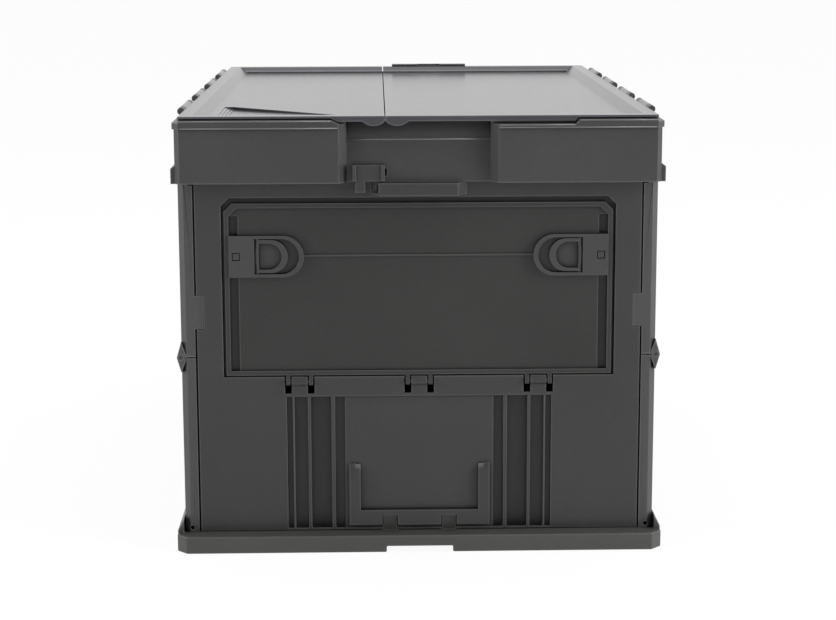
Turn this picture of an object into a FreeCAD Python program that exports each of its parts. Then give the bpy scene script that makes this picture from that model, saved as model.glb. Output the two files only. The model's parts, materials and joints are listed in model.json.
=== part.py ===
import FreeCAD, Part
import math
import os

# Folding storage crate with two lids, drop-down end doors and folding sides.
# Millimetres. +Z is up and the origin is the middle of the underside.
# The front short end is at -Y, and the long sides are at -X (left) and +X (right).
# Pieces of the front end are drawn first; the back end is the same turned half round.

V = FreeCAD.Vector
ORIGIN = V(0, 0, 0)
ALONG_X = V(1, 0, 0)
ALONG_Y = V(0, 1, 0)
UP = V(0, 0, 1)
HALF_TURN = 180

# Whole box
box_width = 366.0
box_length = 530.0
frame_top = 324.8       # height of the top frame, which the lids close
over = 1.0              # how far a cutting shape runs past a face
fit_gap = 0.3           # between pieces that stand side by side
pin_gap = 0.05          # radial running clearance of every pin

# Bottom tray
tray_corner = 7.6
tray_ledge_depth = 14.0
tray_ledge_height = 13.0
tray_floor_top = 6.5
tray_floor_wall = 2.5
tray_lip = 4.0          # ledge that the floor panel lies on
tray_lip_height = 2.0
tray_wall = 3.0
tray_rim_wall = 4.5
tray_rim_low = 15.0
tray_rim_high = 24.0
tray_notch_width = 50.0
tray_notch_height = 4.6
tray_rib = 2.5
tray_across_count = 5
tray_along_count = 6
lug_place = 22.3
lug_width = 11.0
lug_height = 11.5
lug_thickness = 3.0

# Long sides, each a lower and an upper half
side_gap = 0.75
side_thickness = 11.0
side_setback = 1.0
side_bevel = 4.2
field_border = 17.0
field_depth = 8.2
field_rib = 9.0
field_count = 4
fold_low = 16.0         # height of the hinge on the tray
fold_gap = 0.8
fold_inset = 5.5
fold_barrel = 3.2
fold_pin = 1.5
fold_lug = 24.0
fold_ear = 8.0
fold_end = 70.0         # from a side's end to the middle of its last hinge
fold_count = 4
knuckle_count = 9
knuckle_reach = 3.3
knuckle_rise = 11.5
knuckle_depth = 4.5
mid_pin = 2.0
mid_pin_out = 0.2
tab_rise = 22.0
tab_height = 25.0
tab_depth = 6.2
tab_thickness = 3.5
corner_notch = 3.4
corner_notch_depth = 6.0
corner_notch_drop = 2.4

# Top frame
frame_inset = 3.0
frame_side_inset = 4.7
frame_height = 44.8
frame_wall = 2.0
frame_corner = 3.6
frame_flange = 1.4
frame_flange_height = 4.7
frame_lip = 1.6         # rim of the ends that stands up outside the lids
frame_deck = 3.0
frame_inner_wall = 2.5
frame_inner_height = 28.8
frame_web = 1.8
frame_web_end = 22.0
frame_web_count = 5
recess_half = 58.4
recess_bevel = 5.5
recess_depth = 8.0
recess_lean = 6.0
recess_lean_height = 13.3
cutout_left = -57.0
cutout_right = 114.6
cutout_left_step = 6.5
cutout_right_step = 2.6
cutout_drop = 1.7
cutout_depth = 7.5
side_rib_proud = 3.1
side_rib_height = 13.8
side_rib_slope = 2.6
side_rib_length = 26.0
side_rib_end = 16.5

# End panels
panel_side_gap = 1.25
panel_thickness = 8.0
panel_bottom_gap = 0.5
panel_lap = 3.0         # how far a panel rises behind the frame's lower edge
end_axis_rise = 6.0
end_pin = 1.5
end_barrel = 18.0
end_ear = 6.0
end_outer_margin = 25.5  # from the panel's edge to the outer hinge
end_inner_gap = 23.0    # from the hand recess to the inner hinge
stop_wall = 2.5
stop_lap = 5.0
well_margin = 66.3      # from the panel's edge to the sunk part below the door
well_rise = 1.7
well_drop = 2.4
well_field_margin = 43.2  # from the edge of the sunk part inward, as are the next three
well_rib_a_margin = 34.5
well_rib_b_margin = 16.7
well_rib_c_margin = 4.9
well_rib_a_width = 3.0
well_rib_b_width = 2.5
well_rib_c_width = 1.5
well_field_depth = 1.2
well_deep = 5.5
well_middle = 4.0
well_shallow = 3.0
card_gap = 3.0
card_bar = 8.6
card_rise = 4.3
card_sill_height = 11.5
card_height = 47.6
card_proud = 2.2
card_slot = 1.2
card_slot_depth = 4.0
card_bevel = 7.0
grip_front_half = 28.7
grip_back_half = 35.5
grip_drop = 3.2
grip_height = 9.5
grip_reach = 9.0
grip_wall = 2.1

# Doors
door_margin = 21.5      # from the panel's edge to the door's edge
door_top_margin = 19.0
door_chamfer = 6.0
door_thickness = 4.7
door_setback = 0.5
door_rim = 3.5
door_sink = 1.6
door_groove = 6.5
door_groove_depth = 1.6
door_side_gap = 2.0
door_bottom_gap = 1.0
door_top_gap = 4.2
door_rib_drop = 39.3
door_rib_width = 1.4
door_rib_proud = 0.8
hinge_margin = 54.5     # from the door's edge to its outer hinges
hinge_height = 129.0
hinge_rise = 5.0        # from the hinge line to the door's lower edge
hinge_inset = 1.0
hinge_knuckle = 3.0
hinge_pin = 1.25
hinge_arm_place = 8.5
hinge_arm = 3.0
hinge_slot = 5.0
hinge_slot_drop = 9.0

# Ring plates and rings, placed from the door's edge
plate_reach = 59.0
plate_height = 31.0
plate_thickness = 4.2
plate_rim_gap = 0.05
pocket_depth = 3.2
pocket_rim = 2.2
pocket_end_rim = 3.6
pocket_back_gap = 2.2
pad_margin = 8.8        # small square pad near the plate's outer end, and the stud behind it
pad_width = 4.6
pad_groove = 0.7
pad_groove_depth = 3.0
pad_short = 0.4
stud_radius = 1.3
stud_height = 1.6
ring_bar_margin = 24.5
ring_bar = 1.2
ring_reach = 22.6
ring_half = 12.3
ring_arm = 2.4
ring_shift = 2.2
ring_thickness = 2.2
ring_trunnion = 2.2

# Lock sliders
lock_margin = 4.4       # from the side of the hand recess
lock_width = 23.7
lock_rise = 1.3
lock_height = 11.9
lock_proud = 4.0
lock_ridge = 2.6
lock_ridge_proud = 1.2
lock_travel = 9.0
lock_neck = 8.0
lock_neck_height = 5.0
lock_hook = 3.0
lock_hook_wall = 1.6
lock_gap = 0.15
tongue_inset = 1.8
tongue_width = 7.4
tongue_drop = 8.6

# Lids
lid_inset = 6.0         # from the tray's edge to the lid's edge
lid_side_inset = 7.5
lid_seam = -24.3
lid_seam_gap = 0.8
lid_rise = 4.3
lid_border = 10.0
lid_slope = 8.0
lid_sink = 5.0
lid_plate = 2.5
lid_hang_gap = 0.6
lid_edge = 1.5          # thickness of the lid's edge above the frame's lip
lid_edge_depth = 3.0
lid_edge_gap = 1.6
lid_barrel = 2.8
lid_barrel_gap = 0.2
lid_pin = 1.2
lid_hinge_length = 40.0
lid_ear = 14.0
lid_end = 91.0          # from a lid's end to the middle of its last hinge
lid_count = 4
finger_tab_width = 16.4
finger_tab_drop = 3.4
finger_tab_thickness = 3.0
wedge_margin = 13.5
wedge_length = 112.0
wedge_front = 37.0
wedge_back = 132.0
wedge_depth = 2.2
wedge_wall = 3.0
wedge_step = 2.4
wedge_step_count = 3
bar_left = -15.0
bar_length = 73.0
bar_width = 9.0
bar_rise = 2.4
bar_slot_share = 0.3

# Places worked out from the sizes above
half_width = box_width / 2
half_length = box_length / 2
frame_bottom = frame_top - frame_height
frame_step = frame_top - frame_flange_height
frame_lip_top = frame_top + frame_lip
cutout_level = frame_top - cutout_drop
rim_x = half_width - tray_rim_wall
side_outer = rim_x - side_gap
side_inner = side_outer - side_thickness
fold_x = side_outer - fold_inset
fold_high = frame_bottom
fold_mid = (fold_low + fold_high) / 2
side_top = fold_high + fold_barrel
seat_x = side_inner - fit_gap
floor_x = seat_x - tray_wall
mid_pin_x = side_outer + mid_pin_out
face_y = -half_length + tray_ledge_depth
back_y = face_y + panel_thickness
floor_y = -back_y
side_end = -face_y - side_setback
fold_pitch = 2 * (side_end - fold_end) / (fold_count - 1)
panel_half = side_inner - panel_side_gap
panel_bottom = tray_ledge_height + panel_bottom_gap
panel_top = frame_bottom + panel_lap
end_axis_y = face_y + panel_thickness / 2
end_axis_height = panel_top + end_axis_rise
end_radius = panel_thickness / 2
end_place_outer = panel_half - end_outer_margin
end_place_inner = recess_half + end_inner_gap
frame_x = half_width - frame_side_inset
frame_y = half_length - frame_inset
frame_inner_x = side_inner - panel_side_gap
frame_inner_y = -back_y
frame_inner_bottom = frame_top - frame_inner_height
frame_web_pitch = 2 * (frame_y - frame_web_end) / (frame_web_count - 1)
opening_x = frame_inner_x - frame_inner_wall
opening_y = frame_inner_y - frame_inner_wall
deck_under = frame_top - frame_deck
recess_y = -frame_y + recess_depth
recess_line = frame_top - recess_lean_height
recess_floor_half = recess_half - recess_bevel
side_rib_high = frame_bottom + side_rib_height
side_rib_x = frame_x + side_rib_proud
side_rib_place = frame_y - side_rib_end
grip_high = panel_top - grip_drop
grip_low = grip_high - grip_height
door_half = panel_half - door_margin
door_bottom = hinge_height + hinge_rise
door_top = panel_top - door_top_margin
door_y = face_y + door_setback
door_back_y = door_y + door_thickness
door_floor_y = door_y + door_sink
door_inner = door_half - door_rim
door_rib_height = door_top - door_rib_drop
hinge_y = face_y + hinge_inset
hinge_place = door_half - hinge_margin
hinge_slot_bottom = hinge_height - hinge_slot_drop
well_half = panel_half - well_margin
well_bottom = panel_bottom + well_rise
well_top = hinge_slot_bottom - well_drop
well_field_half = well_half - well_field_margin
well_rib_a = well_half - well_rib_a_margin
well_rib_b = well_half - well_rib_b_margin
well_rib_c = well_half - well_rib_c_margin
card_outer = well_field_half - card_gap
card_bottom = panel_bottom + card_rise
card_sill = card_bottom + card_sill_height
card_top = card_bottom + card_height
plate_inner = door_half - plate_reach
plate_y = door_floor_y - plate_thickness
pocket_y = plate_y + pocket_depth
pad_place = door_half - pad_margin
ring_bar_place = door_half - ring_bar_margin
ring_y = pocket_y - ring_bar - fit_gap
lock_left = -recess_floor_half + lock_margin
lock_low = frame_bottom + lock_rise
lock_high = lock_low + lock_height
tongue_left = lock_left + tongue_inset
tongue_low = lock_low - tongue_drop
lid_x = half_width - lid_side_inset
lid_y = half_length - lid_inset
lid_pitch = 2 * (lid_y - lid_end) / (lid_count - 1)
lid_under = frame_top + fit_gap
lid_top = frame_top + lid_rise
lid_axis_x = lid_x + lid_barrel + lid_barrel_gap
lid_axis_z = frame_top + lid_barrel + fit_gap
lid_floor = lid_top - lid_sink
wedge_left = -lid_x + lid_border + lid_slope + wedge_margin
wedge_right = wedge_left + wedge_length
bar_right = bar_left + bar_length


def block(x0, x1, y0, y1, z0, z1):
    return Part.makeBox(x1 - x0, y1 - y0, z1 - z0, V(x0, y0, z0))


def prism(corners, reach):
    return Part.Face(Part.makePolygon(corners + corners[:1])).extrude(reach)


def prism_xy(points, z0, z1):
    return prism([V(x, y, z0) for x, y in points], V(0, 0, z1 - z0))


def prism_xz(points, y0, y1):
    return prism([V(x, y0, z) for x, z in points], V(0, y1 - y0, 0))


def prism_yz(points, x0, x1):
    return prism([V(x0, y, z) for y, z in points], V(x1 - x0, 0, 0))


def rod_x(y, z, radius, x0, x1):
    return Part.makeCylinder(radius, x1 - x0, V(x0, y, z), ALONG_X)


def rod_y(x, z, radius, y0, y1):
    return Part.makeCylinder(radius, y1 - y0, V(x, y0, z), ALONG_Y)


def rod_z(x, y, radius, z0, z1):
    return Part.makeCylinder(radius, z1 - z0, V(x, y, z0), UP)


def joined(solids):
    if len(solids) == 1:
        return solids[0]
    return solids[0].multiFuse(solids[1:]).removeSplitter()


def without(solid, tools):
    return solid.cut(tools).removeSplitter()


def other_side(shape):
    return shape.mirror(ORIGIN, ALONG_X)


def other_end(shape):
    turned = shape.copy()
    turned.rotate(ORIGIN, UP, HALF_TURN)
    return turned


def both_sides(shape):
    return [shape, other_side(shape)]


def both_ends(shape):
    return [shape, other_end(shape)]


def spread(count, pitch):
    return [(i - (count - 1) / 2) * pitch for i in range(count)]


def bevelled_rectangle(half_x, half_y, bevel):
    return [
        (-half_x + bevel, -half_y), (half_x - bevel, -half_y),
        (half_x, -half_y + bevel), (half_x, half_y - bevel),
        (half_x - bevel, half_y), (-half_x + bevel, half_y),
        (-half_x, half_y - bevel), (-half_x, -half_y + bevel),
    ]


def save(node, solids):
    shape = solids[0] if len(solids) == 1 else Part.makeCompound(solids)
    shape.exportStep(os.path.join("parts", node + ".step"))


# Hinge sets along a long side: two ears on one piece, a lug between them on the other
fold_set = fold_lug / 2 + fit_gap + fold_ear


def fold_ears(z_root):
    """Ears of one side that reach from z_root to the hinge line, with their bores."""
    height = fold_low if z_root < fold_mid else fold_high
    solids = []
    for y in spread(fold_count, fold_pitch):
        for start in (y - fold_set, y + fold_set - fold_ear):
            low, high = sorted((z_root, height))
            stem = block(fold_x - fold_barrel, fold_x + fold_barrel, start, start + fold_ear, low, high)
            eye = rod_y(fold_x, height, fold_barrel, start, start + fold_ear)
            bore = rod_y(fold_x, height, fold_pin + pin_gap, start - over, start + fold_ear + over)
            solids.append(joined([stem, eye]).cut(bore))
    return solids


def fold_notches(low, high):
    """Room in a side panel for the ears, from the panel's edge to past the hinge line."""
    x1 = fold_x + fold_barrel + fit_gap
    tools = []
    for y in spread(fold_count, fold_pitch):
        for start in (y - fold_set, y + fold_set - fold_ear):
            y0 = start - fit_gap
            y1 = start + fold_ear + fit_gap
            tools.append(block(side_inner - over, x1, y0, y1, low, high))
    return tools


def fold_pins(height):
    return [
        rod_y(fold_x, height, fold_pin, y - fold_set, y + fold_set)
        for y in spread(fold_count, fold_pitch)
    ]


def floor_cells():
    """Middle and half size of the cells below the floor, as x, y, half_x, half_y."""
    cell_x = 2 * (floor_x - tray_lip) / tray_across_count
    cell_y = 2 * (floor_y - tray_lip) / tray_along_count
    half_x = (cell_x - tray_rib) / 2
    half_y = (cell_y - tray_rib) / 2
    return [(x, y, half_x, half_y) for x in spread(tray_across_count, cell_x)
            for y in spread(tray_along_count, cell_y)]


def base_floor():
    """Floor panel with a grid of ribs below it; its edge lies on the tray's ledge."""
    edge = block(-floor_x, floor_x, -floor_y, floor_y, tray_lip_height, tray_floor_top)
    inner_x = floor_x - tray_lip - fit_gap
    inner_y = floor_y - tray_lip - fit_gap
    grid = block(-inner_x, inner_x, -inner_y, inner_y, 0, tray_floor_top)
    cells = [block(x - half_x, x + half_x, y - half_y, y + half_y, -over, tray_floor_top - tray_floor_wall)
             for x, y, half_x, half_y in floor_cells()]
    return without(joined([edge, grid]), cells)


def base_tray():
    body = prism_xy(bevelled_rectangle(half_width, half_length, tray_corner), 0, tray_ledge_height)
    rim_end = -face_y + tray_wall
    rim = prism_xz(
        [(rim_x, tray_floor_top), (half_width, tray_floor_top),
         (half_width, tray_rim_low), (rim_x, tray_rim_high)], -rim_end, rim_end)
    body = joined([body] + both_sides(rim))
    high = tray_rim_high + over
    seat_y = side_end + fit_gap
    # the floor's place, with the ledge under its edge, and the seats of the long sides
    tools = [block(-rim_x, rim_x, -floor_y, floor_y, tray_floor_top, high),
             block(-floor_x, floor_x, -floor_y, floor_y, tray_lip_height, high),
             block(tray_lip - floor_x, floor_x - tray_lip, tray_lip - floor_y, floor_y - tray_lip, -over, high)]
    tools += both_sides(block(seat_x, rim_x, -seat_y, seat_y, tray_floor_top, high))
    # pockets below the end ledges and below the seats
    for x, y, half_x, half_y in floor_cells():
        end = block(x - half_x, x + half_x, -half_length + tray_wall, -floor_y - tray_rib / 2, -over,
                    tray_ledge_height - tray_wall)
        tools += both_ends(end) if y < 0 else []
        seat = block(seat_x, rim_x, y - half_y, y + half_y, -over, tray_floor_top - tray_floor_wall)
        tools += both_sides(seat) if x < 0 else []
    notch = block(-tray_notch_width / 2, tray_notch_width / 2, -half_length - over,
                  -half_length + tray_wall + over, -over, tray_notch_height)
    tools += both_ends(notch)
    body = without(body, tools)
    ears = fold_ears(tray_floor_top)
    parts = [body] + ears + [other_side(ear) for ear in ears]
    for x in (-lug_place, lug_place):
        lug = block(x - lug_width / 2, x + lug_width / 2, face_y, face_y + lug_thickness,
                    tray_ledge_height - over, tray_ledge_height + lug_height)
        parts += both_ends(lug)
    return joined(parts)


def knuckle_profile(grow):
    """Four-cornered section of a middle hinge knuckle, a little larger where it is a relief."""
    return [
        (side_outer, fold_mid - knuckle_rise - 2 * grow),
        (side_outer + knuckle_reach + grow, fold_mid),
        (side_outer, fold_mid + knuckle_rise + 2 * grow),
        (side_outer - knuckle_depth - grow, fold_mid),
    ]


def knuckles(first, grow):
    """Every second knuckle of the middle hinge, starting at first."""
    length = 2 * side_end / knuckle_count
    solids = []
    for i in range(first, knuckle_count, 2):
        start = -side_end + i * length
        y0 = start + fit_gap / 2 - grow if i else start - grow
        y1 = start + length - fit_gap / 2 + grow
        if i == knuckle_count - 1:
            y1 = side_end + grow
        solids.append(prism_xz(knuckle_profile(grow), y0, y1))
    return solids


def side_slab(z0, z1):
    """One half of the right side: a thick panel with sunk fields on its outer face."""
    outline = [
        (side_inner, -side_end), (side_outer - side_bevel, -side_end),
        (side_outer, -side_end + side_bevel), (side_outer, side_end - side_bevel),
        (side_outer - side_bevel, side_end), (side_inner, side_end),
    ]
    slab = prism_xy(outline, z0, z1)
    field_pitch = (2 * (side_end - field_border) + field_rib) / field_count
    field_half = (field_pitch - field_rib) / 2
    tools = []
    for y in spread(field_count, field_pitch):
        tools.append(block(side_outer - field_depth, side_outer + over, y - field_half, y + field_half,
                           z0 + field_border, z1 - field_border))
    return without(slab, tools)


def side_lower():
    slab = side_slab(tray_floor_top + fit_gap, fold_mid - fold_gap / 2)
    slab = joined([slab] + knuckles(0, 0))
    bores = [rod_y(fold_x, fold_low, fold_pin + pin_gap, -side_end - over, side_end + over)]
    bores.append(rod_y(mid_pin_x, fold_mid, mid_pin + pin_gap, -side_end - over, side_end + over))
    notches = fold_notches(tray_floor_top, fold_low + fold_barrel + fit_gap)
    return without(slab, knuckles(1, fit_gap) + bores + notches)


def side_upper():
    slab = side_slab(fold_mid + fold_gap / 2, side_top)
    tab_z = fold_mid + tab_rise
    tab = block(side_inner - tab_depth, side_inner + over, -side_end, -side_end + tab_thickness,
                tab_z, tab_z + tab_height)
    back_tab = tab.mirror(ORIGIN, ALONG_Y)
    slab = joined([slab, tab, back_tab] + knuckles(1, 0))
    bores = [rod_y(fold_x, fold_high, fold_pin + pin_gap, -side_end - over, side_end + over)]
    bores.append(rod_y(mid_pin_x, fold_mid, mid_pin + pin_gap, -side_end - over, side_end + over))
    notches = fold_notches(fold_high - fold_barrel - fit_gap, side_top + over)
    # room for the frame's outer wall, and a small notch beside the top of each end panel
    wall_room = block(frame_x - frame_wall - fit_gap, side_outer + over, -side_end - over, side_end + over,
                      frame_bottom - fit_gap, side_top + over)
    corner = block(side_inner - over, side_inner + corner_notch, -side_end - over,
                   -side_end + corner_notch_depth, frame_bottom - corner_notch_drop, side_top + over)
    notches += [wall_room, corner, corner.mirror(ORIGIN, ALONG_Y)]
    return without(slab, knuckles(0, fit_gap) + bores + notches)


def frame_outline(inward):
    """Plan of the frame's wall, with the hand recess in each end, moved inward by a wall."""
    shift = inward * (math.hypot(recess_bevel, recess_depth) - recess_bevel) / recess_depth
    x = frame_x - inward
    y = frame_y - inward
    corner = frame_corner
    floor_y = -recess_y - inward
    front = [
        (-x, -y + corner), (-x + corner, -y), (-recess_half - shift, -y),
        (-recess_floor_half - shift, -floor_y),
        (recess_floor_half + shift, -floor_y), (recess_half + shift, -y), (x - corner, -y),
        (x, -y + corner),
    ]
    back = [(-px, -py) for px, py in front]
    return front + back


def lid_hinge_ears(x_sign):
    """Ears on the frame's long edge at both ends of each lid barrel."""
    solids = []
    for y in spread(lid_count, lid_pitch):
        for start in (y - lid_hinge_length / 2 - fit_gap - lid_ear, y + lid_hinge_length / 2 + fit_gap):
            eye = rod_y(lid_axis_x, lid_axis_z, lid_barrel, start, start + lid_ear)
            stem = block(lid_axis_x - lid_barrel, lid_axis_x + lid_barrel_gap, start, start + lid_ear,
                         frame_top - over, lid_axis_z)
            bore = rod_y(lid_axis_x, lid_axis_z, lid_pin + pin_gap, start - over, start + lid_ear + over)
            solids.append(joined([eye, stem]).cut(bore))
    return solids if x_sign > 0 else [other_side(solid) for solid in solids]


def end_hinge_places():
    return [-end_place_outer, -end_place_inner, end_place_inner, end_place_outer]


def end_hinge_ears():
    """Ears that hang from the deck beside each barrel of the end panel."""
    solids = []
    for x in end_hinge_places():
        for start in (x - end_barrel / 2 - fit_gap - end_ear, x + end_barrel / 2 + fit_gap):
            stem = block(start, start + end_ear, end_axis_y - end_radius, end_axis_y + end_radius,
                         end_axis_height, deck_under + over)
            eye = rod_x(end_axis_y, end_axis_height, end_radius, start, start + end_ear)
            bore = rod_x(end_axis_y, end_axis_height, end_pin + pin_gap, start - over,
                         start + end_ear + over)
            solids.append(joined([stem, eye]).cut(bore))
    return solids


def end_hinge_pins():
    reach = end_barrel / 2 + fit_gap + end_ear
    return [
        rod_x(end_axis_y, end_axis_height, end_pin, x - reach, x + reach)
        for x in end_hinge_places()
    ]


def lock_slot():
    """The slot in the recess wall that the slider's neck runs in."""
    neck_x = lock_left + lock_width / 2
    middle = (lock_low + lock_high) / 2
    return block(neck_x - lock_neck / 2 - fit_gap, neck_x + lock_neck / 2 + lock_travel + fit_gap,
                 recess_y - over, recess_y + frame_wall + over,
                 middle - lock_neck_height / 2 - fit_gap, middle + lock_neck_height / 2 + fit_gap)


def top_frame():
    wall = prism_xy(frame_outline(0), frame_bottom, frame_step + over)
    flange_x = frame_x + frame_flange
    flange_y = frame_y + frame_flange
    flange = prism_xy(bevelled_rectangle(flange_x, flange_y, frame_corner + frame_flange),
                      frame_step, frame_top)
    body = joined([wall, flange])
    # hollow underneath: a channel between the outer wall and the inner one
    channel = prism_xy(frame_outline(frame_wall), frame_bottom - over, deck_under)
    inner = block(-frame_inner_x, frame_inner_x, -frame_inner_y, frame_inner_y,
                  frame_inner_bottom, frame_top + over)
    opening = block(-opening_x, opening_x, -opening_y, opening_y, frame_bottom - over, frame_top + over)
    body = without(body, [channel.cut(inner), opening])
    parts = [body]
    # lowered sill under the lids' front edge, and the leaning wall above the hand recess
    sill_low = cutout_level - frame_deck
    sill_back = -flange_y + cutout_depth
    sill = block(cutout_left - cutout_left_step, cutout_right + cutout_right_step,
                 -frame_y + frame_wall - over, sill_back + frame_wall, sill_low, cutout_level)
    lip_half = flange_x - frame_corner - frame_flange
    lip = block(-lip_half, lip_half, -flange_y, -lid_y - fit_gap, frame_top - over, frame_lip_top)
    lean_wall = prism_yz(
        [(recess_y, recess_line - frame_deck), (recess_y + frame_wall, recess_line - frame_deck),
         (recess_y + recess_lean + frame_wall, deck_under), (recess_y + recess_lean + frame_wall, frame_top),
         (recess_y, frame_top)],
        -recess_floor_half - frame_wall, recess_floor_half + frame_wall)
    end_parts = [sill, lip, lean_wall] + end_hinge_ears()
    for part in end_parts:
        parts += both_ends(part)
    # webs that tie the walls of the long sides, and the ears for the sides and the lids
    for y in spread(frame_web_count, frame_web_pitch):
        web = block(frame_inner_x - frame_inner_wall / 2, frame_x - frame_wall / 2,
                    y - frame_web / 2, y + frame_web / 2, frame_inner_bottom, deck_under + over)
        parts += both_sides(web)
    for ear in fold_ears(deck_under + over):
        parts += both_sides(ear)
    parts += lid_hinge_ears(-1) + lid_hinge_ears(1)
    rib_root = frame_x - frame_wall / 2
    rib_profile = [(rib_root, frame_bottom), (side_rib_x, frame_bottom),
                   (side_rib_x, side_rib_high - side_rib_slope), (rib_root, side_rib_high)]
    for y in (-side_rib_place, 0, side_rib_place):
        rib = prism_xz(rib_profile, y - side_rib_length / 2, y + side_rib_length / 2)
        parts += both_sides(rib)
    body = joined(parts)
    # outside cuts at each end: the recess above its line, the lowered flange and the lock's slot
    high = frame_lip_top + over
    out_y = -flange_y - over
    lean = recess_lean * (high - recess_line) / (frame_top - recess_line)
    above = prism_yz([(out_y, recess_line), (recess_y, recess_line), (recess_y + lean, high),
                      (out_y, high)], -recess_floor_half, recess_floor_half)
    mouth = prism_xy([(-recess_floor_half, recess_y), (recess_floor_half, recess_y),
                      (recess_half, -frame_y), (recess_half, out_y), (-recess_half, out_y),
                      (-recess_half, -frame_y)], frame_step - over, high)
    run_share = (high - cutout_level) / (frame_lip_top - cutout_level)
    lowered = prism_xz([(cutout_left, cutout_level), (cutout_right, cutout_level),
                        (cutout_right + cutout_right_step * run_share, high),
                        (cutout_left - cutout_left_step * run_share, high)], out_y, sill_back)
    tools = []
    for tool in (above, mouth, lowered, lock_slot()):
        tools += both_ends(tool)
    return without(body, tools)


def window_outline(grow_side, grow_low, grow_top, chamfer):
    """Outline of the door, or of the opening around it, in X and Z."""
    half = door_half + grow_side
    low = door_bottom - grow_low
    top = door_top + grow_top
    return [(-half, low), (half, low), (half, top - chamfer), (half - chamfer, top),
            (-half + chamfer, top), (-half, top - chamfer)]


def hinge_places():
    return [-hinge_place, 0, hinge_place]


def hinge_pins():
    reach = hinge_arm_place + hinge_arm / 2
    return [rod_x(hinge_y, hinge_height, hinge_pin, x - reach, x + reach) for x in hinge_places()]


def card_holder():
    """U-shaped holder for a card on the lower part of the panel, with a slot behind its edges."""
    y0 = face_y - card_proud
    y1 = face_y + well_field_depth + over
    bar_inner = card_outer - card_bar
    sill = block(-card_outer, card_outer, y0, y1, card_bottom, card_sill)
    bar = prism_yz([(y0, card_bottom), (y1, card_bottom), (y1, card_top),
                    (y0 + card_proud, card_top), (y0, card_top - card_bevel)], bar_inner, card_outer)
    holder = joined([sill] + both_sides(bar))
    slot_y = face_y + well_field_depth
    slot_x = bar_inner + card_slot_depth
    slot = block(-slot_x, slot_x, slot_y - card_slot, slot_y, card_sill - card_slot_depth, card_top + over)
    return without(holder, [slot])


def grip():
    """Grip on the panel's face above the door, hollow underneath, open to the lock on its left."""
    grip_y = face_y - grip_reach
    body = prism_xy([(-grip_back_half, face_y), (grip_back_half, face_y), (grip_front_half, grip_y),
                     (-grip_front_half, grip_y)], grip_low, grip_high)
    inner_back = grip_back_half - grip_wall
    inner_front = grip_front_half - grip_wall
    hollow = prism_xy([(-inner_back, face_y + over), (inner_back, face_y + over), (inner_back, face_y),
                       (inner_front, grip_y + grip_wall), (-inner_front, grip_y + grip_wall),
                       (-inner_back, face_y)], grip_low - over, grip_high - grip_wall)
    # the slider's tongue enters the grip through its left wing
    tongue_y = recess_y - lock_gap
    tongue_room = block(tongue_left, -inner_front, tongue_y - lock_proud - fit_gap, tongue_y + fit_gap,
                        tongue_low - fit_gap, grip_high + over)
    return without(body, [hollow, tongue_room])


def end_panel():
    slab = block(-panel_half, panel_half, face_y, back_y, panel_bottom, panel_top)
    parts = [slab, card_holder()]
    for x in end_hinge_places():
        x0 = x - end_barrel / 2
        x1 = x + end_barrel / 2
        parts.append(block(x0, x1, face_y, back_y, panel_top - over, end_axis_height))
        parts.append(rod_x(end_axis_y, end_axis_height, end_radius, x0, x1))
    for x in hinge_places():
        reach = hinge_arm_place - hinge_slot / 2
        parts.append(rod_x(hinge_y, hinge_height, hinge_knuckle, x - reach, x + reach))
    body = joined(parts)
    stop_y = back_y - stop_wall
    tools = [
        prism_xz(window_outline(door_side_gap, door_bottom_gap, door_top_gap, door_chamfer),
                 face_y - over, stop_y),
        prism_xz(window_outline(-stop_lap, -stop_lap, -stop_lap, door_chamfer), stop_y - over,
                 back_y + over),
        rod_x(end_axis_y, end_axis_height, end_pin + pin_gap, -panel_half - over, panel_half + over),
    ]
    for x in hinge_places():
        for arm in (x - hinge_arm_place, x + hinge_arm_place):
            tools.append(block(arm - hinge_slot / 2, arm + hinge_slot / 2, face_y - hinge_knuckle,
                               back_y + over, hinge_slot_bottom, door_bottom))
        reach = hinge_arm_place + hinge_slot / 2
        tools.append(rod_x(hinge_y, hinge_height, hinge_pin + pin_gap, x - reach, x + reach))
    # sunk part below the door: a wide field and ribbed channels on both sides of it
    tools.append(well_cut(0, well_field_half, well_field_depth).cut(card_holder()))
    tools.append(other_side(well_cut(0, well_field_half, well_field_depth)).cut(card_holder()))
    channels = [
        (well_field_half, well_rib_a - well_rib_a_width / 2, well_middle),
        (well_rib_a + well_rib_a_width / 2, well_rib_b - well_rib_b_width / 2, well_deep),
        (well_rib_b + well_rib_b_width / 2, well_rib_c - well_rib_c_width / 2, well_middle),
        (well_rib_c + well_rib_c_width / 2, well_half, well_shallow),
    ]
    for x0, x1, depth in channels:
        tools += both_sides(well_cut(x0, x1, depth))
    # notches for the tray's lugs and rebates for the tabs of the long sides
    for x in (-lug_place, lug_place):
        half = lug_width / 2 + fit_gap
        tools.append(block(x - half, x + half, face_y - card_proud - over,
                           face_y + lug_thickness + fit_gap, panel_bottom - over,
                           tray_ledge_height + lug_height + fit_gap))
    tab_z = fold_mid + tab_rise
    rebate = block(side_inner - tab_depth - fit_gap, panel_half + over, face_y - over,
                   -side_end + tab_thickness + fit_gap, tab_z - fit_gap, tab_z + tab_height + fit_gap)
    tools += both_sides(rebate)
    return without(body, tools)


def well_cut(x0, x1, depth):
    return block(x0, x1, face_y - over, face_y + depth, well_bottom, well_top)


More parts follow.
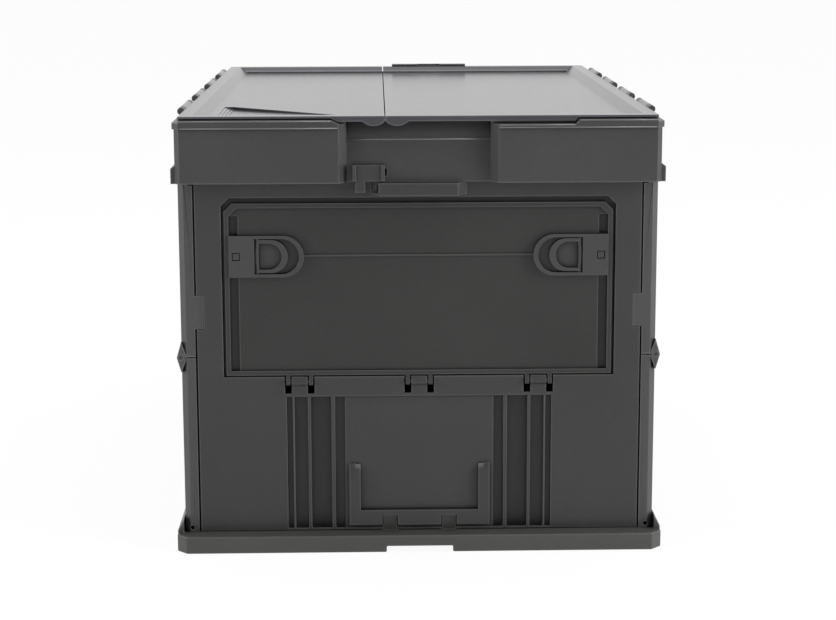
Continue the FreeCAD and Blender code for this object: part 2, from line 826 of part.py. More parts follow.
def door():
    slab = prism_xz(window_outline(0, 0, 0, door_chamfer), door_y, door_back_y)
    floor = prism_xz(window_outline(-door_rim, -door_rim, -door_rim, door_chamfer), door_y - over,
                     door_floor_y)
    groove = block(door_inner - door_groove, door_inner, door_floor_y - over,
                   door_floor_y + door_groove_depth, door_bottom + door_rim,
                   door_top - door_rim - door_chamfer)
    plate_room = block(plate_inner, door_inner, door_floor_y - over, door_floor_y + over,
                       door_rib_height - plate_height / 2, door_rib_height + plate_height / 2)
    groove = groove.cut(plate_room)
    slab = without(slab, [floor] + both_sides(groove))
    parts = [slab]
    parts.append(block(-plate_inner + plate_rim_gap, plate_inner - plate_rim_gap,
                       door_floor_y - door_rib_proud, door_floor_y + door_rim / 2,
                       door_rib_height - door_rib_width / 2, door_rib_height + door_rib_width / 2))
    stud = rod_y(pad_place, door_rib_height, stud_radius, door_floor_y - stud_height,
                 door_floor_y + door_rim / 2)
    parts += both_sides(stud)
    bores = []
    for x in hinge_places():
        for place in (x - hinge_arm_place, x + hinge_arm_place):
            x0 = place - hinge_arm / 2
            x1 = place + hinge_arm / 2
            arm = prism_yz([(hinge_y - hinge_knuckle, hinge_height), (hinge_y + hinge_knuckle, hinge_height),
                            (door_back_y, door_bottom), (door_back_y, door_bottom + door_rim),
                            (door_y, door_bottom + door_rim), (door_y, door_bottom)], x0, x1)
            parts.append(joined([arm, rod_x(hinge_y, hinge_height, hinge_knuckle, x0, x1)]))
        reach = hinge_arm_place + hinge_slot
        bores.append(rod_x(hinge_y, hinge_height, hinge_pin + pin_gap, x - reach, x + reach))
    return without(joined(parts), bores)


def round_ended(x0, x1, half_height, radius, y0, y1):
    """A flat form from x1 back to x0, with its x0 end rounded to radius, about the ring's height."""
    centre = x0 + radius
    bar = block(centre, x1, y0, y1, door_rib_height - half_height, door_rib_height + half_height)
    end = Part.makeCylinder(radius, y1 - y0, V(centre, y0, door_rib_height), ALONG_Y)
    trim = block(x0 - over, x1 + over, y0 - over, y1 + over, door_rib_height - half_height,
                 door_rib_height + half_height)
    return joined([bar, end.common(trim)])


def ring_plate():
    """Right-hand plate with a sunk bed for the ring, bores for its bar and a small square pad."""
    outer_end = door_inner - plate_rim_gap
    half = plate_height / 2
    plate = round_ended(plate_inner, outer_end, half, half, plate_y, door_floor_y)
    pocket_half = half - pocket_rim
    pocket = round_ended(plate_inner + pocket_end_rim, ring_bar_place + pocket_back_gap, pocket_half,
                         pocket_half, plate_y - over, pocket_y)
    trunnion = ring_half + ring_trunnion + fit_gap
    bore = rod_z(ring_bar_place, ring_y, ring_bar + pin_gap, door_rib_height - trunnion,
                 door_rib_height + trunnion)
    pad = pad_width / 2
    around = pad + pad_groove
    sink = block(pad_place - around, pad_place + around, plate_y - over, plate_y + pad_groove_depth,
                 door_rib_height - around, door_rib_height + around)
    island = block(pad_place - pad, pad_place + pad, plate_y + pad_short, plate_y + pad_groove_depth + over,
                   door_rib_height - pad, door_rib_height + pad)
    stud_room = rod_y(pad_place, door_rib_height, stud_radius + pin_gap,
                      door_floor_y - stud_height - fit_gap, door_floor_y + over)
    return without(plate, [pocket, bore, sink.cut(island), stud_room])


def ring():
    """Right-hand ring: a round bar that turns in the plate and a flat bow with a broad end."""
    y0 = ring_y - ring_thickness / 2
    y1 = ring_y + ring_thickness / 2
    tip = ring_bar_place - ring_reach
    bow = round_ended(tip, ring_bar_place, ring_half, ring_half, y0, y1)
    inner_half = ring_half - ring_arm
    inner_tip = tip + ring_arm + ring_shift
    hole = round_ended(inner_tip, ring_bar_place - ring_bar, inner_half, inner_half, y0 - over, y1 + over)
    trunnion = ring_half + ring_trunnion
    bar = rod_z(ring_bar_place, ring_y, ring_bar, door_rib_height - trunnion, door_rib_height + trunnion)
    return joined([without(bow, [hole]), bar])


def lock_slider():
    """Square knob in the hand recess, its neck and hooks behind the wall, and the tongue below."""
    y1 = recess_y - lock_gap
    y0 = y1 - lock_proud
    right = lock_left + lock_width
    parts = [block(lock_left, right, y0, y1, lock_low, lock_high)]
    for x in (lock_left, right - lock_ridge):
        parts.append(block(x, x + lock_ridge, y0 - lock_ridge_proud, y0 + over, lock_low, lock_high))
    parts.append(block(tongue_left, tongue_left + tongue_width, y0, y1, tongue_low, lock_low + over))
    neck_x = lock_left + lock_width / 2
    middle = (lock_low + lock_high) / 2
    hook_y = recess_y + frame_wall + lock_gap
    parts.append(block(neck_x - lock_neck / 2, neck_x + lock_neck / 2, y1 - over, hook_y + lock_hook_wall,
                       middle - lock_neck_height / 2, middle + lock_neck_height / 2))
    parts.append(block(neck_x - lock_neck / 2, neck_x + lock_neck / 2, hook_y, hook_y + lock_hook_wall,
                       middle - lock_neck_height / 2, middle + lock_neck_height / 2 + lock_hook))
    return joined(parts)


def rectangle_wire(x0, x1, y0, y1, z):
    corners = [V(x0, y0, z), V(x1, y0, z), V(x1, y1, z), V(x0, y1, z)]
    return Part.makePolygon(corners + corners[:1])


def lid_hinge_arms(x_edge):
    """Barrels on the lid's long edge, drawn for the right lid, with their pin bores."""
    solids = []
    for y in spread(lid_count, lid_pitch):
        y0 = y - lid_hinge_length / 2
        y1 = y + lid_hinge_length / 2
        barrel = rod_y(lid_axis_x, lid_axis_z, lid_barrel, y0, y1)
        arm = block(x_edge - over, lid_axis_x, y0, y1, lid_under, lid_top)
        bore = rod_y(lid_axis_x, lid_axis_z, lid_pin + pin_gap, y0 - over, y1 + over)
        solids.append(joined([barrel, arm]).cut(bore))
    return solids


def lid_hinge_pins():
    reach = lid_hinge_length / 2 + fit_gap + lid_ear
    return [rod_y(lid_axis_x, lid_axis_z, lid_pin, y - reach, y + reach) for y in spread(lid_count, lid_pitch)]


def finger_tab(x0):
    """Lens-shaped lip below the lid's edge at the seam, for a fingertip."""
    x1 = x0 + finger_tab_width
    middle = V((x0 + x1) / 2, -lid_y, lid_under - finger_tab_drop)
    left = V(x0, -lid_y, lid_under)
    right = V(x1, -lid_y, lid_under)
    edge = Part.Wire([Part.Arc(left, middle, right).toShape(), Part.makeLine(right, left)])
    lip = Part.Face(edge).extrude(V(0, finger_tab_thickness, 0))
    root = block(x0, x1, -lid_y, -lid_y + finger_tab_thickness, lid_under, lid_under + over)
    return joined([lip, root])


def lid(seam_x, edge_x):
    """A lid from the seam to its long edge: raised border on three sides, sunk plate between."""
    x0, x1 = sorted((seam_x, edge_x))
    plate_low = lid_floor - lid_plate
    slab = block(x0, x1, -lid_y, lid_y, lid_under, lid_top)
    hang_edge = math.copysign(opening_x - lid_hang_gap, edge_x)
    h0, h1 = sorted((seam_x, hang_edge))
    hang_y = opening_y - lid_hang_gap
    hang = block(h0, h1, -hang_y, hang_y, plate_low, lid_under + over)
    bed_edge = math.copysign(abs(edge_x) - lid_border, edge_x)
    bed_foot = math.copysign(abs(edge_x) - lid_border - lid_slope, edge_x)
    past_seam = seam_x - math.copysign(over, edge_x)
    t0, t1 = sorted((past_seam, bed_edge))
    b0, b1 = sorted((past_seam, bed_foot))
    bed_y = lid_y - lid_border
    foot_y = bed_y - lid_slope
    bed = Part.makeLoft([rectangle_wire(b0, b1, -foot_y, foot_y, lid_floor),
                         rectangle_wire(t0, t1, -bed_y, bed_y, lid_top)], True, True)
    return without(joined([slab, hang]), [bed])


def edge_rebates():
    """Room below the lids' end edges beside the lowered stretch of the frame, so that the edge is thin."""
    low = lid_under - over
    high = lid_top - lid_edge
    rise = frame_lip_top - cutout_level
    left_low = cutout_left - cutout_left_step * (low - cutout_level) / rise + lid_edge_gap
    left_high = cutout_left - cutout_left_step * (high - cutout_level) / rise + lid_edge_gap
    right_low = cutout_right + cutout_right_step * (low - cutout_level) / rise - lid_edge_gap
    right_high = cutout_right + cutout_right_step * (high - cutout_level) / rise - lid_edge_gap
    y0 = -lid_y - over
    y1 = -lid_y + lid_edge_depth
    left = prism_xz([(-lid_x - over, low), (left_low, low), (left_high, high), (-lid_x - over, high)], y0, y1)
    right = prism_xz([(right_low, low), (lid_x + over, low), (lid_x + over, high), (right_high, high)], y0, y1)
    return both_ends(left) + both_ends(right)


def wedge_pad():
    """Thicker part of the left lid below the wedge."""
    low = lid_floor - lid_plate - wedge_depth
    return block(wedge_left - wedge_step * wedge_step_count - wedge_wall, wedge_right + wedge_wall,
                 -lid_y + wedge_front - wedge_wall, -lid_y + wedge_back + wedge_wall, low, lid_floor - over)


def wedge_recess():
    """Long wedge with a stepped broad end, sunk into the left lid near the front."""
    front = -lid_y + wedge_front
    back = -lid_y + wedge_back
    low = lid_floor - wedge_depth
    tools = [prism_xy([(wedge_left, front), (wedge_right, front), (wedge_left, back)], low,
                      lid_floor + over)]
    for i in range(1, wedge_step_count + 1):
        depth = wedge_depth * (1 - i / (wedge_step_count + 1))
        x0 = wedge_left - i * wedge_step
        tools.append(block(x0, x0 + wedge_step + over, front, back, lid_floor - depth, lid_floor + over))
    return tools


def left_lid():
    body = lid(lid_seam - lid_seam_gap / 2, -lid_x)
    arms = [other_side(arm) for arm in lid_hinge_arms(lid_x)]
    tab = finger_tab(lid_seam - lid_seam_gap / 2 - finger_tab_width)
    return without(joined([body, tab, wedge_pad()] + arms), wedge_recess() + edge_rebates())


def right_lid():
    body = lid(lid_seam + lid_seam_gap / 2, lid_x)
    tab = finger_tab(lid_seam + lid_seam_gap / 2)
    bar = block(bar_left, bar_right, lid_y - bar_width, lid_y, lid_top - over, lid_top + bar_rise)
    slot_half = (bar_right - bar_left) * bar_slot_share / 2
    middle = (bar_left + bar_right) / 2
    slot = block(middle - slot_half, middle + slot_half, lid_y - bar_width - over,
                 lid_y - bar_width / 2, lid_top + bar_rise / 2, lid_top + bar_rise + over)
    whole = joined([body, tab, without(bar, [slot])] + lid_hinge_arms(lid_x))
    return without(whole, edge_rebates())


def main():
    os.makedirs("parts", exist_ok=True)
    save("base_tray", [base_tray()])
    save("base_floor", [base_floor()])
    save("top_frame", [top_frame()])
    lower = side_lower()
    upper = side_upper()
    mid = rod_y(mid_pin_x, fold_mid, mid_pin, -side_end, side_end)
    for side, place in (("left", other_side), ("right", lambda shape: shape)):
        save(side + "_side_lower", [place(lower)])
        save(side + "_side_upper", [place(upper)])
        save(side + "_mid_hinge_pin", [place(mid)])
        save(side + "_base_hinge_pins", [place(pin) for pin in fold_pins(fold_low)])
        save(side + "_frame_hinge_pins", [place(pin) for pin in fold_pins(fold_high)])
        save(side + "_lid_hinge_pins", [place(pin) for pin in lid_hinge_pins()])
    panel = end_panel()
    handle = grip()
    leaf = door()
    plate = ring_plate()
    bow = ring()
    slider = lock_slider()
    for end, place in (("front", lambda shape: shape), ("back", other_end)):
        near, far = ("right", "left") if end == "front" else ("left", "right")
        save(end + "_end_panel", [place(panel)])
        save(end + "_grip", [place(handle)])
        save(end + "_end_hinge_pins", [place(pin) for pin in end_hinge_pins()])
        save(end + "_door", [place(leaf)])
        save(end + "_door_hinge_pins", [place(pin) for pin in hinge_pins()])
        save(end + "_" + near + "_ring_plate", [place(plate)])
        save(end + "_" + far + "_ring_plate", [place(other_side(plate))])
        save(end + "_" + near + "_ring", [place(bow)])
        save(end + "_" + far + "_ring", [place(other_side(bow))])
        save(end + "_lock_slider", [place(slider)])
    save("left_lid", [left_lid()])
    save("right_lid", [right_lid()])


main()
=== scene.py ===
import json
import math

import bmesh
import bpy
from mathutils import Matrix, Vector


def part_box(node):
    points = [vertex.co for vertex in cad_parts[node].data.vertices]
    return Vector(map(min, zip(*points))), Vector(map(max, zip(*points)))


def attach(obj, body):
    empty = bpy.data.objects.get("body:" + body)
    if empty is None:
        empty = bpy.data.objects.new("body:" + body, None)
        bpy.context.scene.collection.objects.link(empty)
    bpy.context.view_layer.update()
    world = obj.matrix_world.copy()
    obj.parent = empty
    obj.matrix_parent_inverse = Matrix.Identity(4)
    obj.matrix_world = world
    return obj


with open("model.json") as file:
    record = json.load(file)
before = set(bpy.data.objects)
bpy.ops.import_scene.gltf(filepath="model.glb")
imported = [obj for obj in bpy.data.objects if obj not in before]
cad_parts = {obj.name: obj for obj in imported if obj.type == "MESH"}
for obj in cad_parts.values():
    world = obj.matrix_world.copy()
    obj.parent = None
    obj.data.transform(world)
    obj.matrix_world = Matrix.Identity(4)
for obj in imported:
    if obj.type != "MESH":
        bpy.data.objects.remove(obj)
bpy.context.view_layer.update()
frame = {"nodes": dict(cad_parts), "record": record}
scene = bpy.context.scene
scene.view_settings.view_transform = "Standard"

IMAGE_WIDTH = 836
IMAGE_HEIGHT = 620
WHITE = (1.0, 1.0, 1.0, 1.0)
OCCLUSION_SAMPLES = 6


# ---------------------------------------------------------------- node helpers
def new_material(name):
    """A material with an empty node tree, and that tree."""
    material = bpy.data.materials.new(name)
    material.use_nodes = True
    material.node_tree.nodes.clear()
    return material, material.node_tree


def fill(tree, node, inputs):
    """Sets each input to its value, or links it where the value is another node's socket."""
    for key, value in inputs.items():
        if isinstance(value, bpy.types.NodeSocket):
            tree.links.new(value, node.inputs[key])
        else:
            node.inputs[key].default_value = value


def add(tree, kind, **inputs):
    """A new node; an underscore in an input's name stands for a space."""
    node = tree.nodes.new(kind)
    fill(tree, node, {key.replace("_", " "): value for key, value in inputs.items()})
    return node


def noise(tree, coords, scale, detail, rough):
    node = add(tree, "ShaderNodeTexNoise", Vector=coords, Scale=scale, Detail=detail, Roughness=rough)
    return node.outputs["Fac"]


def ramp(tree, value, low, high, first, last):
    """The colour first up to low, last from high on, and a blend between."""
    node = add(tree, "ShaderNodeValToRGB", Fac=value)
    start, end = node.color_ramp.elements
    start.position = low
    start.color = first
    end.position = high
    end.color = last
    return node.outputs["Color"]


def rescale(tree, value, low, high, source=(0.0, 1.0), interpolation="LINEAR"):
    """The value, mapped from the source range to low and high."""
    node = add(tree, "ShaderNodeMapRange", Value=value, From_Min=source[0], From_Max=source[1],
               To_Min=low, To_Max=high)
    node.interpolation_type = interpolation
    return node.outputs["Result"]


def mix(tree, first, second, factor, blend="MIX"):
    """Two colours, mixed."""
    node = tree.nodes.new("ShaderNodeMix")
    node.data_type = "RGBA"
    node.blend_type = blend
    fill(tree, node, {"Factor": factor, "A": first, "B": second})
    return node.outputs["Result"]


def calculate(tree, operation, *values, clamp=False):
    node = tree.nodes.new("ShaderNodeMath")
    node.operation = operation
    node.use_clamp = clamp
    fill(tree, node, dict(enumerate(values)))
    return node.outputs[0]


def mix_shaders(tree, first, second, factor):
    node = tree.nodes.new("ShaderNodeMixShader")
    fill(tree, node, {0: factor, 1: first, 2: second})
    return node.outputs["Shader"]


def occlusion(tree, reach, inside, local):
    """1 on an open face, less in a hollow, or near an edge where it looks inside."""
    node = add(tree, "ShaderNodeAmbientOcclusion", Distance=reach)
    node.samples = OCCLUSION_SAMPLES
    node.inside = inside
    node.only_local = local
    return node.outputs["AO"]


def tinted(colour, share):
    return tuple(c * share for c in colour) + (1.0,)


# ---------------------------------------------------------------- moulded plastic and wire
CLOUD_SCALE = 9.0
CLOUD_RANGE = (0.32, 0.70)
CLOUD_SHARES = (0.90, 1.10)         # of the finish's colour
SPECK_SHARE = 0.35                  # scale of the specks' noise, as a share of the grain's
SPECK_FACTOR = 0.35
SPECK_RANGE = (0.35, 0.65)
SPECK_DARK = tinted((1, 1, 1), 0.72)
# painted shade in hollows: how far the occlusion reaches, and the darkest share of the colour
PAINTED_SHADE_REACH = 0.020
PAINTED_SHADE_DARK = tinted((1, 1, 1), 0.12)
PAINTED_HIGHLIGHT_RANGE = (0.95, 0.35)           # painted highlight, from an open face to a sharp edge
PAINTED_HIGHLIGHT_SHARE = 3.2                    # a painted highlight on an edge is the finish's colour times this
RUB_STRETCH = (55.0, 9.0, 30.0)     # rub marks run along the length of the box
RUB_SCALE = 4.0
GRAIN_DEPTH = 0.0003
STEEL_DARK = (0.50, 0.50, 0.51, 1.0)
STEEL_LIGHT = (0.72, 0.72, 0.73, 1.0)
STEEL_RANGE = (0.3, 0.7)
STEEL_ROUGHNESS = (0.22, 0.40)
DRAW_MARK_SCALE = 700.0
DRAW_MARK_DEPTH = 0.0001


def plastic(name, colour, rough, level, grain=1500.0, bump=0.20, uneven=0.05, painted_shade_amount=0.9, painted_highlight_amount=0.8,
            local=True, shade=(0.40, 0.97), painted_highlight_width=0.0013):
    """Clouded colour with specks and a fine grain; painted shade darkens the hollows and painted highlights
    lighten the edges.
    """
    material, tree = new_material(name)
    coords = add(tree, "ShaderNodeTexCoord").outputs["Object"]
    cloud = noise(tree, coords, CLOUD_SCALE, detail=4.0, rough=0.55)
    tint = ramp(tree, cloud, *CLOUD_RANGE, *(tinted(colour, share) for share in CLOUD_SHARES))
    speck = noise(tree, coords, grain * SPECK_SHARE, detail=2.0, rough=0.6)
    specks = ramp(tree, speck, *SPECK_RANGE, SPECK_DARK, WHITE)
    speckled = mix(tree, tint, specks, SPECK_FACTOR, "MULTIPLY")
    # painted shade: the colour darkens where the occlusion finds a hollow, as shade would
    hollow = ramp(tree, occlusion(tree, PAINTED_SHADE_REACH, inside=False, local=local), *shade, PAINTED_SHADE_DARK, WHITE)
    with_painted_shade = mix(tree, speckled, hollow, painted_shade_amount, "MULTIPLY")
    # painted highlight: the colour lightens near convex edges, as a lit edge would
    painted_highlight_share = rescale(tree, occlusion(tree, painted_highlight_width, inside=True, local=True), 0.0, painted_highlight_amount, PAINTED_HIGHLIGHT_RANGE)
    with_painted_highlight = mix(tree, with_painted_shade, tinted(colour, PAINTED_HIGHLIGHT_SHARE), painted_highlight_share)
    # rub marks only change the gloss
    stretched = add(tree, "ShaderNodeMapping", Vector=coords, Scale=RUB_STRETCH).outputs["Vector"]
    rub = noise(tree, stretched, RUB_SCALE, detail=5.0, rough=0.65)
    gloss = rescale(tree, rub, rough - uneven, rough + uneven)
    pits = noise(tree, coords, grain, detail=2.0, rough=0.55)
    relief = add(tree, "ShaderNodeBump", Strength=bump, Distance=GRAIN_DEPTH, Height=pits)
    shader = add(tree, "ShaderNodeBsdfPrincipled", Base_Color=with_painted_highlight, Roughness=gloss,
                 Normal=relief.outputs["Normal"], Specular_IOR_Level=level)
    add(tree, "ShaderNodeOutputMaterial", Surface=shader.outputs["BSDF"])
    return material


def wire_steel(name):
    """Bright drawn wire with fine draw marks."""
    material, tree = new_material(name)
    coords = add(tree, "ShaderNodeTexCoord").outputs["Object"]
    marks = noise(tree, coords, DRAW_MARK_SCALE, detail=3.0, rough=0.6)
    relief = add(tree, "ShaderNodeBump", Strength=0.1, Distance=DRAW_MARK_DEPTH, Height=marks)
    shader = add(tree, "ShaderNodeBsdfPrincipled", Metallic=1.0, Normal=relief.outputs["Normal"],
                 Base_Color=ramp(tree, marks, *STEEL_RANGE, STEEL_DARK, STEEL_LIGHT),
                 Roughness=rescale(tree, marks, *STEEL_ROUGHNESS))
    add(tree, "ShaderNodeOutputMaterial", Surface=shader.outputs["BSDF"])
    return material


# ---------------------------------------------------------------- finishes
LID_COLOUR = (0.042, 0.0415, 0.0475)
LID_LOOK = {"rough": 0.20, "level": 0.40, "grain": 1700.0, "bump": 0.03, "uneven": 0.015}
shell = plastic("shell_plastic", (0.0335, 0.0337, 0.0328), rough=0.40, level=0.35)
# the frame, the sides and the tray are painted lighter and the door painted darker than the shell: lit and
# shaded copies of one plastic
frame_painted_lighter = plastic("frame_plastic_painted_lighter", (0.039, 0.0391, 0.0385), rough=0.38, level=0.40)
side_painted_lighter = plastic("side_plastic_painted_lighter", (0.051, 0.051, 0.0515), rough=0.38, level=0.42)
door_painted_darker = plastic("door_plastic_painted_darker", (0.0265, 0.0266, 0.0255), rough=0.42, level=0.32)
tray = plastic("tray_plastic_painted_lighter", (0.057, 0.0567, 0.0533), rough=0.40, level=0.38)
lid = plastic("lid_plastic", LID_COLOUR, painted_shade_amount=0.3, **LID_LOOK)
ramp_finish = plastic("ramp_plastic", LID_COLOUR, painted_shade_amount=0.0, painted_highlight_amount=0.0, **LID_LOOK)
# the fittings take painted shade from neighbouring pieces too, strongest where they touch
fitting = plastic("fitting_plastic", (0.039, 0.0391, 0.0381), rough=0.36, level=0.40, grain=1800.0,
                  bump=0.12, painted_shade_amount=1.0, painted_highlight_amount=0.6, local=False, shade=(0.62, 0.96), painted_highlight_width=0.0004)
lock_finish = plastic("lock_plastic", (0.034, 0.0341, 0.0332), rough=0.38, level=0.36, grain=1800.0,
                      bump=0.12)
dark_pin = plastic("pin_plastic", (0.030, 0.030, 0.030), rough=0.42, level=0.3, grain=1800.0, bump=0.15)
steel = wire_steel("pin_steel")
slot_finishes = {"shell": shell, "lid": lid, "fitting": fitting, "dark_pin": dark_pin, "steel": steel}

EDGE_ROUNDING = 0.0008              # the small rounding that a mould leaves on every edge
FITTING_ROUNDING = 0.0004
ROUNDED_ANGLE = math.radians(32)
WELD_REACH = 0.00001
FLAT_FACE_WEIGHT = 80


def finish_of(node, slot):
    # parts that the light falls on differently get a painted-lighter or painted-darker copy of the plastic
    if node in ("base_tray", "base_floor"):
        return tray
    if node == "top_frame":
        return frame_painted_lighter
    if "_side_" in node:
        return side_painted_lighter
    if node.endswith("_door"):
        return door_painted_darker
    if node.endswith("_lock_slider"):
        return lock_finish
    return slot_finishes[slot]


for part in frame["record"]["subparts"]:
    slot = part["material_slot"]
    piece = frame["nodes"][part["node"]]
    piece.data.materials.clear()
    piece.data.materials.append(finish_of(part["node"], slot))
    if slot in ("steel", "dark_pin"):
        continue
    weld = piece.modifiers.new("weld", "WELD")
    weld.merge_threshold = WELD_REACH
    bevel = piece.modifiers.new("edge_rounding", "BEVEL")
    bevel.width = FITTING_ROUNDING if slot == "fitting" else EDGE_ROUNDING
    bevel.segments = 2
    bevel.limit_method = "ANGLE"
    bevel.angle_limit = ROUNDED_ANGLE
    bevel.use_clamp_overlap = True
    normals = piece.modifiers.new("flat_faces", "WEIGHTED_NORMAL")
    normals.keep_sharp = False
    normals.weight = FLAT_FACE_WEIGHT


def put_piece(name, mesh, finish):
    """Turns a bmesh into an object of the scene."""
    bmesh.ops.recalc_face_normals(mesh, faces=mesh.faces[:])
    data = bpy.data.meshes.new(name)
    mesh.to_mesh(data)
    mesh.free()
    data.materials.append(finish)
    piece = bpy.data.objects.new(name, data)
    scene.collection.objects.link(piece)
    return piece


# ---------------------------------------------------------------- thin beads on the frame
FLANGE_OUT = 0.0014                 # the flange stands this far out of the frame's wall
FLANGE_LOW = 0.3201                 # height of the flange's lower edge
CORNER_INSET = 0.008                # the beads end this far from the frame's corners
RECESS_DEPTH = 0.008
RECESS_HALF = 0.0584                # half widths of the hand recess at its mouth and at its floor
RECESS_FLOOR_HALF = 0.0529
RECESS_LINE = 0.3115                # height at which the recess wall starts to lean
LIP_TOP = 0.3264                    # top of the flange's lip
LIP_END = 0.1745
LOWERED_TOP = 0.3231                # the lip is lowered under the lids' front edge
LOWERED_LEFT = -0.0640
LOWERED_RIGHT = 0.1177
LOWERED_SILL_END = 0.1140
BEAD = 0.00055                      # a bead's radius
BEAD_STEPS = 8
BEAD_BULGE = 0.7                    # shares of the radius: height of the bead, and depth set into the wall
BEAD_SINK = 0.1


def bead(mesh, x0, x1, y, z, turned):
    """A half-round bead along X on an end wall; the far end has it turned half round."""
    sign = -1.0 if turned else 1.0
    rings = []
    for x in (x0, x1):
        ring = []
        for step in range(BEAD_STEPS + 1):
            angle = math.pi * step / BEAD_STEPS
            out = BEAD * (BEAD_BULGE * math.sin(angle) - BEAD_SINK)
            ring.append(mesh.verts.new((sign * x, sign * (y - out), z + BEAD * math.cos(angle))))
        rings.append(ring)
    near, far = rings
    for step in range(BEAD_STEPS):
        mesh.faces.new((near[step], near[step + 1], far[step + 1], far[step]))
    mesh.faces.new(near)
    mesh.faces.new(far)
    mesh.faces.new((near[0], near[-1], far[-1], far[0]))


frame_low, frame_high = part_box("top_frame")
flange_face = frame_low[1]
recess_face = flange_face + FLANGE_OUT + RECESS_DEPTH
frame_end = frame_high[0] - CORNER_INSET
bead_runs = (
    (-frame_end, -RECESS_HALF - BEAD, flange_face, FLANGE_LOW + BEAD),
    (RECESS_HALF + BEAD, frame_end, flange_face, FLANGE_LOW + BEAD),
    (-RECESS_FLOOR_HALF, RECESS_FLOOR_HALF, recess_face, RECESS_LINE),
    (-LIP_END, LOWERED_LEFT, flange_face, LIP_TOP - BEAD),
    (LOWERED_RIGHT, LIP_END, flange_face, LIP_TOP - BEAD),
    (RECESS_HALF + BEAD, LOWERED_SILL_END, flange_face, LOWERED_TOP - BEAD),
)
bead_mesh = bmesh.new()
for turned in (False, True):
    for run in bead_runs:
        bead(bead_mesh, *run, turned)
beads = put_piece("frame_beads", bead_mesh, frame_painted_lighter)
for face in beads.data.polygons:
    face.use_smooth = len(face.vertices) == 4
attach(beads, "box_shell")

# ---------------------------------------------------------------- ramp in the lid's wedge
# The wedge is deepest at its broad left end and runs out to the lid's surface at its tip.
WEDGE_LEFT = -0.1439
WEDGE_TIP = -0.0325
WEDGE_FRONT = -0.2219
WEDGE_BACK = -0.1274
WEDGE_LOW = 0.32192
WEDGE_RAMP_LEFT = 0.32200
WEDGE_RAMP_TIP = 0.32395
WEDGE_STEPS = 14
ramp_mesh = bmesh.new()
ramp_rows = []
for step in range(WEDGE_STEPS):
    share = step / WEDGE_STEPS
    x = WEDGE_LEFT + (WEDGE_TIP - WEDGE_LEFT) * share
    y = WEDGE_BACK + (WEDGE_FRONT - WEDGE_BACK) * share
    # eased, so that the ramp leaves the floor and meets the surface softly
    rise = share * share * (3.0 - 2.0 * share)
    z = WEDGE_RAMP_LEFT + (WEDGE_RAMP_TIP - WEDGE_RAMP_LEFT) * rise
    corners = ((x, WEDGE_FRONT, WEDGE_LOW), (x, WEDGE_FRONT, z), (x, y, z), (x, y, WEDGE_LOW))
    ramp_rows.append([ramp_mesh.verts.new(corner) for corner in corners])
tip_low = ramp_mesh.verts.new((WEDGE_TIP, WEDGE_FRONT, WEDGE_LOW))
tip_high = ramp_mesh.verts.new((WEDGE_TIP, WEDGE_FRONT, WEDGE_RAMP_TIP))
for near, far in zip(ramp_rows, ramp_rows[1:]):
    for corner in range(4):
        after = (corner + 1) % 4
        ramp_mesh.faces.new((near[corner], near[after], far[after], far[corner]))
ramp_mesh.faces.new(ramp_rows[0])
last = ramp_rows[-1]
ramp_mesh.faces.new((last[0], last[1], tip_high, tip_low))
ramp_mesh.faces.new((last[1], last[2], tip_high))
ramp_mesh.faces.new((last[2], last[3], tip_low, tip_high))
ramp_mesh.faces.new((last[3], last[0], tip_low))
wedge_ramp = put_piece("wedge_ramp", ramp_mesh, ramp_finish)
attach(wedge_ramp, "left_lid")

# ---------------------------------------------------------------- stage
FLOOR_SIZE = 60.0
FLOOR_HEIGHT = -0.0004
FLOOR_COLOUR = (0.86, 0.86, 0.86, 1.0)
FLOOR_WHITE_SHARE = 0.93            # the rest keeps the object's shadow

bpy.ops.mesh.primitive_plane_add(size=FLOOR_SIZE, location=(0.0, 0.0, FLOOR_HEIGHT))
floor = bpy.context.object
floor.name = "floor"
floor_finish, tree = new_material("floor_white")
paint = add(tree, "ShaderNodeBsdfDiffuse", Color=FLOOR_COLOUR)
glow = add(tree, "ShaderNodeEmission", Color=WHITE, Strength=1.0)
path = add(tree, "ShaderNodeLightPath").outputs
seen = calculate(tree, "ADD", path["Is Camera Ray"], path["Is Glossy Ray"])
seen = calculate(tree, "ADD", seen, path["Is Transmission Ray"], clamp=True)
white_part = calculate(tree, "MULTIPLY", seen, FLOOR_WHITE_SHARE)
floor_surface = mix_shaders(tree, paint.outputs["BSDF"], glow.outputs["Emission"], white_part)
add(tree, "ShaderNodeOutputMaterial", Surface=floor_surface)
floor.data.materials.append(floor_finish)

# a studio that is white behind and beside the box and dimmer on the side where the camera stands
STUDIO_COLOUR = (0.97, 0.98, 1.0, 1.0)
STUDIO_SPAN = (-0.95, 0.15)         # the Y part of a direction, from dimmest to white
STUDIO_DIMMEST = 0.12

scene.world = bpy.data.worlds.new("studio")
scene.world.use_nodes = True
tree = scene.world.node_tree
tree.nodes.clear()
direction = add(tree, "ShaderNodeTexCoord").outputs["Generated"]
toward_back = add(tree, "ShaderNodeSeparateXYZ", Vector=direction).outputs["Y"]
strength = rescale(tree, toward_back, STUDIO_DIMMEST, 1.0, STUDIO_SPAN, "SMOOTHSTEP")
studio = add(tree, "ShaderNodeBackground", Color=STUDIO_COLOUR, Strength=strength)
backdrop = add(tree, "ShaderNodeBackground", Color=WHITE, Strength=1.0)
path = add(tree, "ShaderNodeLightPath").outputs
shine = calculate(tree, "MULTIPLY_ADD", path["Is Glossy Ray"], strength, path["Is Transmission Ray"])
seen = calculate(tree, "ADD", path["Is Camera Ray"], shine, clamp=True)
world_surface = mix_shaders(tree, studio.outputs["Background"], backdrop.outputs["Background"], seen)
add(tree, "ShaderNodeOutputWorld", Surface=world_surface)


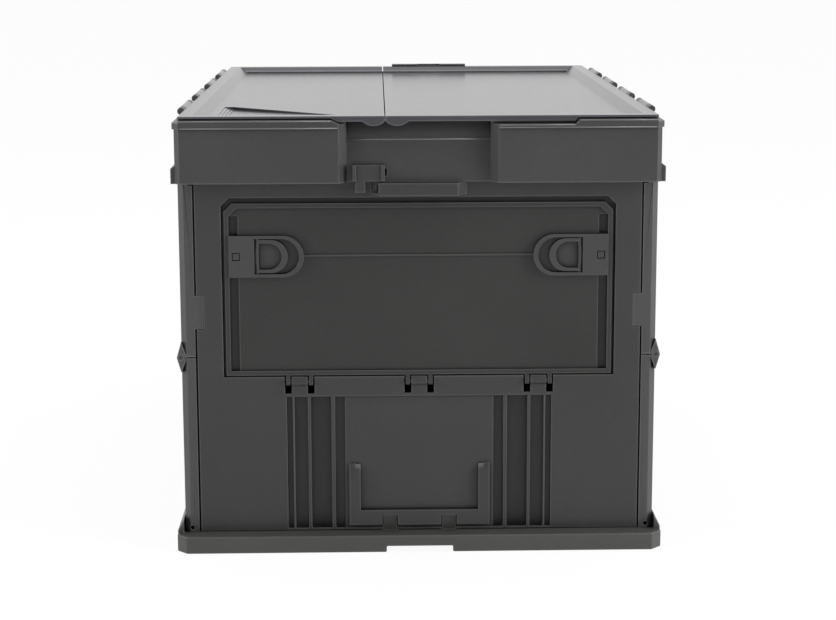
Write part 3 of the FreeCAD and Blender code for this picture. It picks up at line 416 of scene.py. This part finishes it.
def softbox(name, place, target, size, power):
    data = bpy.data.lights.new(name, "AREA")
    data.shape = "RECTANGLE"
    data.size, data.size_y = size
    data.energy = power
    lamp = bpy.data.objects.new(name, data)
    scene.collection.objects.link(lamp)
    lamp.location = place
    way = Vector(target) - Vector(place)
    lamp.rotation_euler = way.to_track_quat("-Z", "Y").to_euler()


softbox("top_softbox", place=(0.0, 0.1, 2.4), target=(0.0, 0.0, 0.2), size=(2.2, 2.2), power=20.0)
softbox("left_softbox", place=(-2.2, -1.0, 0.9), target=(0.0, -0.1, 0.15), size=(1.0, 1.6), power=30.0)
softbox("right_softbox", place=(2.2, -1.1, 0.9), target=(0.0, -0.1, 0.15), size=(1.0, 1.6), power=58.0)

# ---------------------------------------------------------------- camera
# The photograph's view, worked out from the places of edges: metres and radians.
CAMERA_PLACE = Vector((-0.03064, -1.60907, 0.45953))
CAMERA_YAW = -0.02212
CAMERA_PITCH = 0.17101
CAMERA_ROLL = -0.00282
CAMERA_FOCUS = 1859.41              # in pixels of the image
AXIS_ROW = 255.0                    # the row of pixels that the lens's axis meets

yaw_c, yaw_s = math.cos(CAMERA_YAW), math.sin(CAMERA_YAW)
pitch_c, pitch_s = math.cos(CAMERA_PITCH), math.sin(CAMERA_PITCH)
roll_c, roll_s = math.cos(CAMERA_ROLL), math.sin(CAMERA_ROLL)
level_right = Vector((yaw_c, yaw_s, 0.0))
forward = Vector((-yaw_s * pitch_c, yaw_c * pitch_c, -pitch_s))
level_up = Vector((-yaw_s * pitch_s, yaw_c * pitch_s, pitch_c))
right = roll_c * level_right + roll_s * level_up
up = roll_c * level_up - roll_s * level_right
camera_data = bpy.data.cameras.new("camera")
camera_data.sensor_fit = "HORIZONTAL"
camera_data.sensor_width = 36.0
camera_data.lens = CAMERA_FOCUS / IMAGE_WIDTH * camera_data.sensor_width
camera_data.shift_y = (AXIS_ROW - IMAGE_HEIGHT / 2) / IMAGE_WIDTH
camera_data.clip_start = 0.01
camera = bpy.data.objects.new("camera", camera_data)
scene.collection.objects.link(camera)
turn = Matrix((right, up, -forward)).transposed().to_4x4()
camera.matrix_world = Matrix.Translation(CAMERA_PLACE) @ turn
scene.camera = camera
